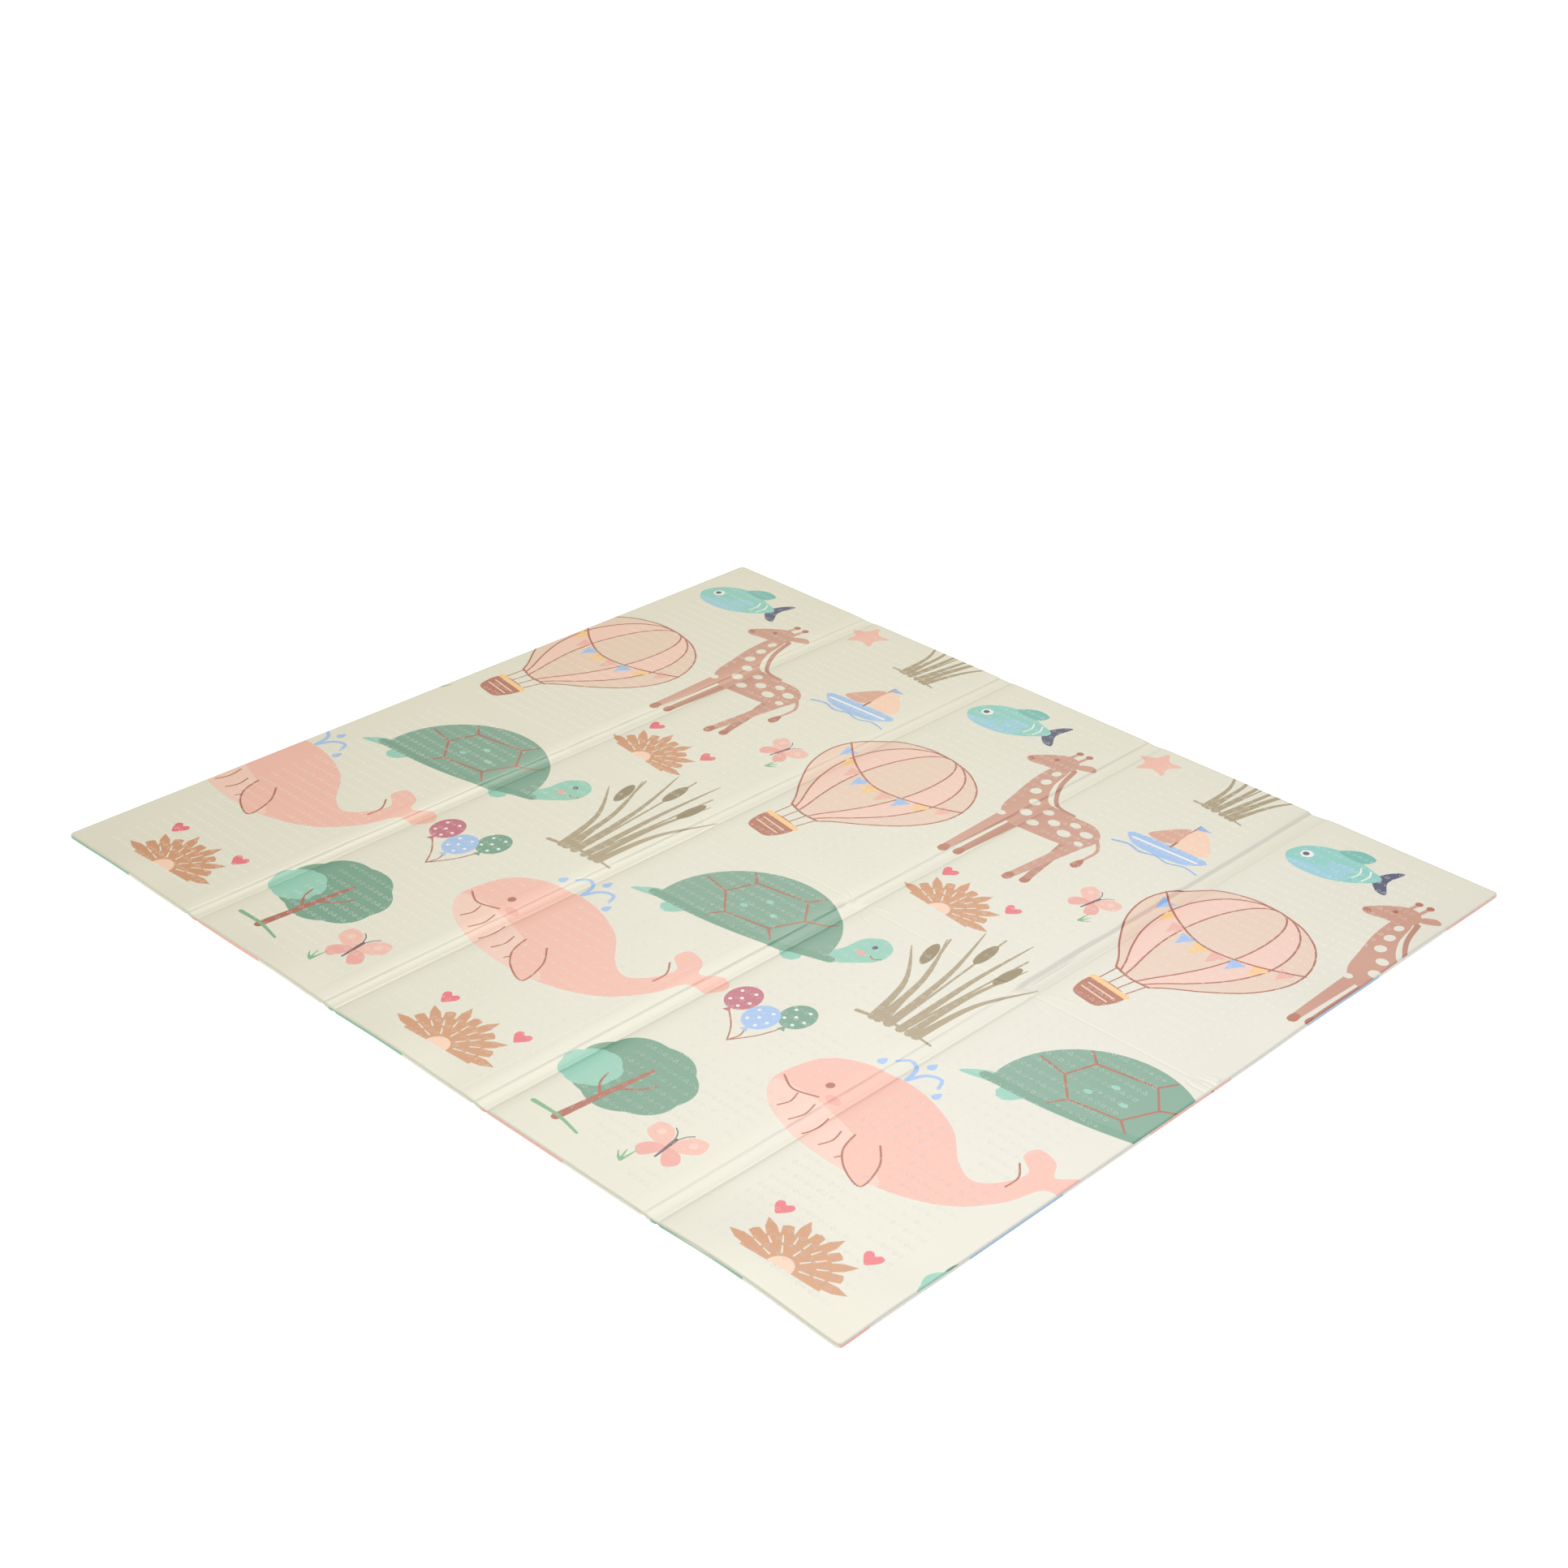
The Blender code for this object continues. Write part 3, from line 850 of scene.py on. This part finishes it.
def cut_pattern(layers, top, xs, ys):
    """Vertices, triangles and ink of each triangle of one face's flat pattern."""
    reach = TOP_REACH if top else BOTTOM_REACH
    lengths = RIM_TOP_ALONG if top else RIM_BOTTOM_ALONG
    points, edges = [], []

    def add_loop(loop, closed=True):
        first = len(points)
        points.extend(map(tuple, loop))
        count = len(loop)
        edges.extend((first + k, first + (k + 1) % count) for k in range(count if closed else count - 1))

    outer = ring(reach, xs, ys)
    for along in lengths[::-1]:
        add_loop(ring(INNER_RADIUS + along, xs, ys))
    sharp = set()
    for middle in BAND_MIDDLES:
        for side in (-1, 1):
            for d in SHARP_COLUMNS:
                sharp.add(int(np.argmin(np.abs(xs - (middle + side * GROOVE_SPACING / 2 + d * MM)))))
    if not top:
        last = len(ys) - 1
        ys = np.array([y for k, y in enumerate(ys) if k % 3 == 0 or abs(y) < FULL_ROWS or k == last])
    for k, x in enumerate(xs):
        column = [(x, y) for y in ys]
        if k in sharp:
            add_loop(column, closed=False)
        else:
            points.extend(column)
    for y in SHARP_ROWS:
        row = ys[int(np.argmin(np.abs(ys - y)))]
        add_loop([(x, row) for x in xs], closed=False)
    if top:
        for *bowed, width, _ in WRINKLES:
            # The tuck runs along a column of the mesh and needs no lines of its own
            if bowed[0] != bowed[2]:
                for line in beside(arc(*bowed), width * MM):
                    add_loop(line, closed=False)
    border = ring(reach - PRINT_STOP, xs[[0, -1]], ys[[0, -1]])
    kept = []
    for ink, outline in layers:
        shape = clipped(outline * CM, border)
        if shape is not None:
            kept.append((ink, shape))
            add_loop(shape)
    vertices, _, faces, *_ = delaunay_2d_cdt([Vector(p) for p in points], edges, [], 0, WELD_GAP, False)
    places = np.array([tuple(v) for v in vertices])
    triangles = np.array(faces)
    corner = places[triangles]
    area = np.cross(corner[:, 1] - corner[:, 0], corner[:, 2] - corner[:, 0])
    triangles[area < 0] = triangles[area < 0][:, ::-1]
    middles = corner.mean(axis=1)
    keep = inside(middles, outer) & (np.abs(area) > LEAST_AREA)
    triangles, middles = triangles[keep], middles[keep]
    inks = np.full(len(triangles), "cream" if top else "check_cream", dtype=object)
    for ink, shape in kept:
        low, high = shape.min(axis=0), shape.max(axis=0)
        near = np.flatnonzero(((middles > low) & (middles < high)).all(axis=1))
        if len(near):
            inks[near[inside(middles[near], shape)]] = ink
    return places, triangles, inks


# Film materials: one for each ink, all with the same emboss and grain

INKS = {
    "cream": "#E7E3CF", "white": "#F3F2EA", "peach": "#ECCFB7", "light_peach": "#FBD2B4",
    "blush": "#F6CDBA", "pink": "#F4BCA9", "salmon": "#F2B4A2", "rose": "#EFA79A", "red": "#EC6C78",
    "crimson": "#C4687A", "brown_line": "#B0614B", "rust": "#B86F55", "rust_light": "#DDA58A",
    "tan": "#CE9882", "tan_dark": "#BF866F", "amber": "#D2966C", "yellow": "#FCCB84", "olive": "#AC9A78",
    "olive_dark": "#94815F", "leaf": "#7BA58D", "leaf_dark": "#6F9F85", "mint": "#93CDB5",
    "grass": "#7DB182", "teal": "#8ED0C2", "teal_dark": "#74BDB0", "pool": "#9BD0DA", "sky": "#A3C3E8",
    "blue": "#8FB3E0", "navy": "#4D506F", "plum": "#6B4858", "check_cream": "#E8E6D8",
    "check_green": "#8ABE9D", "check_pink": "#F5B7A8", "check_blue": "#A3C3E0", "check_brown": "#C79A8B",
}
# How far the ink is mixed towards this white along the pressed marks, a painted highlight standing for
# their glints and stronger on cream, and that white in linear light
MARK_HIGHLIGHT_SHARE, CREAM_MARK_HIGHLIGHT_SHARE = 0.50, 0.68
HIGHLIGHT_WHITE = (1.0, 0.975, 0.90)
# Brightness and roughness of the film without grain, and what full grain adds
SHADE = (0.965, 0.07)
ROUGHNESS = (0.30, 0.14)
# The emboss: its cells, how deep a mark is pressed, and the grain's height as a share of that
EMBOSS_PITCH = 26 * MM
EMBOSS_DEPTH = 0.24 * MM
GRAIN_HEIGHT = 0.26
# In shares of a cell: where its two marks lie, and the width of their strokes
DIAMOND_X, MARK_X, MARKS_Y = 0.26, 0.72, 0.50
STROKE = 0.045
# The marks keep this far from the bands' middles, the ends and the middle crease
BAND_GAP, END_GAP, MIDDLE_GAP = 0.052, 0.045, 0.030


def linear(code):
    parts = [int(code[k:k + 2], 16) / 255 for k in (1, 3, 5)]
    return [c / 12.92 if c <= 0.04045 else ((c + 0.055) / 1.055) ** 2.4 for c in parts]


class Value:
    """A number in a shader. Arithmetic with it adds math nodes."""

    def __init__(self, tree, socket):
        self.tree = tree
        self.socket = socket

    def math(self, operation, *values, clamp=False):
        node = self.tree.nodes.new("ShaderNodeMath")
        node.operation = operation
        node.use_clamp = clamp
        for socket, value in zip(node.inputs, values):
            if isinstance(value, Value):
                self.tree.links.new(value.socket, socket)
            else:
                socket.default_value = value
        return Value(self.tree, node.outputs[0])

    def __add__(self, other):
        return self.math("ADD", self, other)

    def __radd__(self, other):
        return self.math("ADD", other, self)

    def __sub__(self, other):
        return self.math("SUBTRACT", self, other)

    def __rsub__(self, other):
        return self.math("SUBTRACT", other, self)

    def __mul__(self, other):
        return self.math("MULTIPLY", self, other)

    def __abs__(self):
        return self.math("ABSOLUTE", self)

    def least(self, other):
        return self.math("MINIMUM", self, other)

    def most(self, other):
        return self.math("MAXIMUM", self, other)

    def above(self, limit):
        """1 above the limit and 0 below it."""
        return self.math("GREATER_THAN", self, limit)

    def ramp(self, start, stop):
        """0 at start and 1 at stop."""
        return self.math("DIVIDE", self - start, stop - start, clamp=True)


def noise(tree, place, scale):
    """A noise of that scale over the places."""
    node = tree.nodes.new("ShaderNodeTexNoise")
    node.inputs["Scale"].default_value = scale
    tree.links.new(place, node.inputs["Vector"])
    return Value(tree, node.outputs["Fac"])


def film_group():
    """Node group: the pressed marks as a mask, a fine grain, and the normal that they make."""
    group = bpy.data.node_groups.new("embossed_film", "ShaderNodeTree")
    for name, kind in (("Marks", "Float"), ("Grain", "Float"), ("Normal", "Vector")):
        group.interface.new_socket(name, in_out="OUTPUT", socket_type="NodeSocket" + kind)
    nodes, links = group.nodes, group.links
    place = nodes.new("ShaderNodeTexCoord").outputs["Object"]
    split = nodes.new("ShaderNodeSeparateXYZ")
    links.new(place, split.inputs[0])
    x, y = (Value(group, split.outputs[k]) for k in (0, 1))
    u, v = (axis.math("DIVIDE", axis, EMBOSS_PITCH) for axis in (x, y))
    column, row = (axis.math("FLOOR", axis) for axis in (u, v))
    a, b = u - column, v - row

    # A diamond in each cell, and beside it a ring, a cross, a triangle or a square
    across, upright = abs(a - DIAMOND_X), abs(b - MARKS_Y)
    diamond = abs(across + upright * 0.8 - 0.15)
    p, q = a - MARK_X, b - MARKS_Y
    ap, aq = abs(p), abs(q)
    squared = p * p + q * q
    ring_mark = abs(squared.math("SQRT", squared) - 0.13)
    cross = ap.most(aq - 0.15).least(aq.most(ap - 0.15))
    triangle = abs((ap * 0.87 + q * 0.5).most(q * -1.0) - 0.10)
    square = abs(ap.most(aq) - 0.12)
    cell = nodes.new("ShaderNodeCombineXYZ")
    links.new(column.socket, cell.inputs[0])
    links.new(row.socket, cell.inputs[1])
    pick = nodes.new("ShaderNodeTexWhiteNoise")
    pick.noise_dimensions = "2D"
    links.new(cell.outputs[0], pick.inputs["Vector"])
    picked = Value(group, pick.outputs["Value"])
    chosen = ring_mark
    for other, limit in ((cross, 0.25), (triangle, 0.5), (square, 0.75)):
        on = picked.above(limit)
        chosen = chosen * (1.0 - on) + other * on
    mark = 1.0 - diamond.least(chosen).ramp(0.0, STROKE)

    # No marks along the folds and the rim
    centre_x, centre_y = (column + 0.5) * EMBOSS_PITCH, (row + 0.5) * EMBOSS_PITCH
    from_band = centre_x.math("PINGPONG", centre_x + 5.5 * PANEL, PANEL / 2)
    from_end = WIDTH / 2 - abs(centre_y)
    from_middle = abs(centre_y)
    free = from_band.above(BAND_GAP) * from_end.above(END_GAP) * from_middle.above(MIDDLE_GAP)
    marks = mark * free * noise(group, place, 9.0).ramp(0.20, 0.52)

    # Fine ribs along Y and a speckle
    stretch = nodes.new("ShaderNodeMapping")
    stretch.inputs["Scale"].default_value = (520.0, 14.0, 30.0)
    links.new(place, stretch.inputs["Vector"])
    grain = noise(group, stretch.outputs[0], 1.0) * 0.6 + noise(group, place, 700.0) * 0.4

    height = grain * GRAIN_HEIGHT - marks
    bump = nodes.new("ShaderNodeBump")
    bump.inputs["Strength"].default_value = 1.0
    bump.inputs["Distance"].default_value = EMBOSS_DEPTH
    links.new(height.socket, bump.inputs["Height"])
    out = nodes.new("NodeGroupOutput")
    links.new(marks.socket, out.inputs["Marks"])
    links.new(grain.socket, out.inputs["Grain"])
    links.new(bump.outputs["Normal"], out.inputs["Normal"])
    return group


def new_material(name):
    """A new material, its node tree and its shader."""
    material = bpy.data.materials.new(name)
    material.use_nodes = True
    return material, material.node_tree, material.node_tree.nodes["Principled BSDF"]


def film(name, code, group):
    """Printed film in one ink, mixed towards white along the pressed marks as a painted highlight, with a
    faint grain.
    """
    material, tree, shader = new_material("film_" + name)
    relief = tree.nodes.new("ShaderNodeGroup")
    relief.node_tree = group
    grain = Value(tree, relief.outputs["Grain"])
    ink = linear(code)
    # The pressed marks get a painted highlight: the ink is mixed towards white there, more strongly on
    # cream
    share = CREAM_MARK_HIGHLIGHT_SHARE if name.endswith("cream") else MARK_HIGHLIGHT_SHARE
    highlighted = [c + (w - c) * share for c, w in zip(ink, HIGHLIGHT_WHITE)]
    mark_highlight = tree.nodes.new("ShaderNodeMix")
    mark_highlight.data_type = "RGBA"
    mark_highlight.inputs["A"].default_value = (*ink, 1.0)
    mark_highlight.inputs["B"].default_value = (*highlighted, 1.0)
    tree.links.new(relief.outputs["Marks"], mark_highlight.inputs["Factor"])
    shade = tree.nodes.new("ShaderNodeHueSaturation")
    tree.links.new(mark_highlight.outputs["Result"], shade.inputs["Color"])
    bright = SHADE[0] + grain * SHADE[1]
    tree.links.new(bright.socket, shade.inputs["Value"])
    tree.links.new(shade.outputs["Color"], shader.inputs["Base Color"])
    rough = ROUGHNESS[0] + grain * ROUGHNESS[1]
    tree.links.new(rough.socket, shader.inputs["Roughness"])
    tree.links.new(relief.outputs["Normal"], shader.inputs["Normal"])
    shader.inputs["IOR"].default_value = 1.49
    shader.inputs["Specular IOR Level"].default_value = 0.34
    return material


# The two films' flat layout: its scale, and where each film's middle lies
LAYOUT_SCALE = 0.268
LAYOUT_MIDDLES = ((0.28, 0.25), (0.28, 0.75))


def build_mat():
    """One closed mesh: the top film and the underside film, welded at the seam in the rim."""
    xs, ys = rows_along_x(), rows_along_y()
    parts = []
    for top, layers in ((True, top_print()), (False, underside_print())):
        flat, triangles, inks = cut_pattern(layers, top, xs, ys)
        places = on_slab(flat[:, 0], flat[:, 1], top)
        normals = slab_normals(flat[:, 0], flat[:, 1], top)
        parts.append((flat, triangles if top else triangles[:, ::-1], inks, places, normals))
    flats, faces, inks, places, normals = zip(*parts)

    # The seam's points are the same places in both films
    seam_of = []
    for seam_reach, flat in zip((TOP_REACH, BOTTOM_REACH), flats):
        loop = ring(seam_reach, xs, ys)
        base = np.clip(flat, (-HALF_X, -HALF_Y), (HALF_X, HALF_Y))
        reach = np.hypot(*(flat - base).T)
        found = {}
        for vertex in np.flatnonzero(reach > seam_reach - SEAM_GAP):
            gaps = np.hypot(*(loop - flat[vertex]).T)
            found[int(vertex)] = int(np.argmin(gaps))
        seam_of.append(found)
    top_at = {k: vertex for vertex, k in seam_of[0].items()}
    first = len(flats[0])
    renumber = np.arange(len(flats[1])) + first
    for vertex, k in seam_of[1].items():
        if k in top_at:
            renumber[vertex] = top_at[k]
    places, normals, inks = (np.concatenate(each) for each in (places, normals, inks))
    layout = np.concatenate([flat * LAYOUT_SCALE + middle for flat, middle in zip(flats, LAYOUT_MIDDLES)])
    triangles = np.concatenate([faces[0], renumber[faces[1]]])
    corners = np.concatenate([faces[0], faces[1] + first]).reshape(-1)

    used = np.unique(triangles)
    compact = np.full(len(places), -1)
    compact[used] = np.arange(len(used))
    mesh = bpy.data.meshes.new("mat_film")
    mesh.from_pydata(places[used].tolist(), [], compact[triangles].tolist())
    names = sorted(set(inks))
    group = film_group()
    for name in names:
        mesh.materials.append(film(name, INKS[name], group))
    number = {name: k for k, name in enumerate(names)}
    mesh.polygons.foreach_set("material_index", np.array([number[i] for i in inks], dtype=np.int32))
    mesh.polygons.foreach_set("use_smooth", np.ones(len(triangles), dtype=bool))
    flat_map = mesh.uv_layers.new(name="OFBake")
    flat_map.data.foreach_set("uv", layout[corners].reshape(-1).astype(np.float32))
    mesh.update()
    mesh.normals_split_custom_set_from_vertices(normals[used].tolist())
    return placed("printed_mat", mesh)


mat = build_mat()
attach(mat, "root")
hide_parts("mat")


# Floor, light and camera

def plain_material(name, code, roughness, glow):
    material, _, shader = new_material(name)
    shader.inputs["Base Color"].default_value = (*linear(code), 1.0)
    shader.inputs["Roughness"].default_value = roughness
    shader.inputs["Emission Color"].default_value = (1.0, 1.0, 1.0, 1.0)
    shader.inputs["Emission Strength"].default_value = glow
    return material


def floor():
    mesh = bpy.data.meshes.new("floor")
    far, low = 30.0, -0.3 * MM
    corners = [(-far, -far, low), (far, -far, low), (far, far, low), (-far, far, low)]
    mesh.from_pydata(corners, [], [(0, 1, 2, 3)])
    mesh.materials.append(plain_material("floor", "#8C8C8C", roughness=0.9, glow=0.96))
    placed("floor", mesh)


def new_light(name, kind, energy, tint):
    data = bpy.data.lights.new(name, kind)
    data.energy = energy
    data.color = tint
    return placed(name, data)


def sky_light(name, strength, spread, toward, tint):
    """Wide even light from far off, as from a large soft box."""
    light = new_light(name, "SUN", strength, tint)
    light.data.angle = math.radians(spread)
    light.rotation_euler = Vector(toward).to_track_quat("Z", "Y").to_euler()


def soft_light(name, place, target, size, power, tint):
    """A flat light near the mat, facing the target."""
    light = new_light(name, "AREA", power, tint)
    light.data.shape = "RECTANGLE"
    light.data.size, light.data.size_y = size
    light.location = place
    light.rotation_euler = (Vector(target) - Vector(place)).to_track_quat("-Z", "Y").to_euler()


floor()
sky_light("overhead", strength=1.65, spread=24.0, toward=(-0.45, 0.50, 0.74), tint=(1.0, 0.98, 0.82))
sky_light("fill", strength=0.80, spread=70.0, toward=(0.34, -0.80, 0.50), tint=(1.0, 0.965, 0.78))
soft_light(
    "front", place=(1.24, -0.16, 2.15), target=(0.5, 0.0, 0.0), size=(0.9, 0.9), power=10.8,
    tint=(0.85, 0.96, 1.78),
)
world = bpy.data.worlds.new("studio")
world.use_nodes = True
background = world.node_tree.nodes["Background"]
background.inputs["Color"].default_value = (1.0, 1.0, 1.0, 1.0)
background.inputs["Strength"].default_value = 0.27
bpy.context.scene.world = world

# The camera stands where the photo's did, worked out from the mat's four corners
camera_data = bpy.data.cameras.new("camera")
camera_data.lens = 60.0
camera_data.sensor_width = 36.0
camera_data.clip_end = 100.0
camera = placed("camera", camera_data)
right = Vector((0.71594, 0.69772, 0.02459))
up = Vector((-0.35544, 0.33396, 0.87300))
forward = Vector((-0.60091, 0.63376, -0.48709))
place = (2.90442, -3.05705, 2.53167)
turned = Matrix((right, up, -forward)).transposed().to_4x4()
camera.matrix_world = Matrix.Translation(place) @ turned
bpy.context.scene.camera = camera
bpy.context.scene.view_settings.view_transform = "Standard"
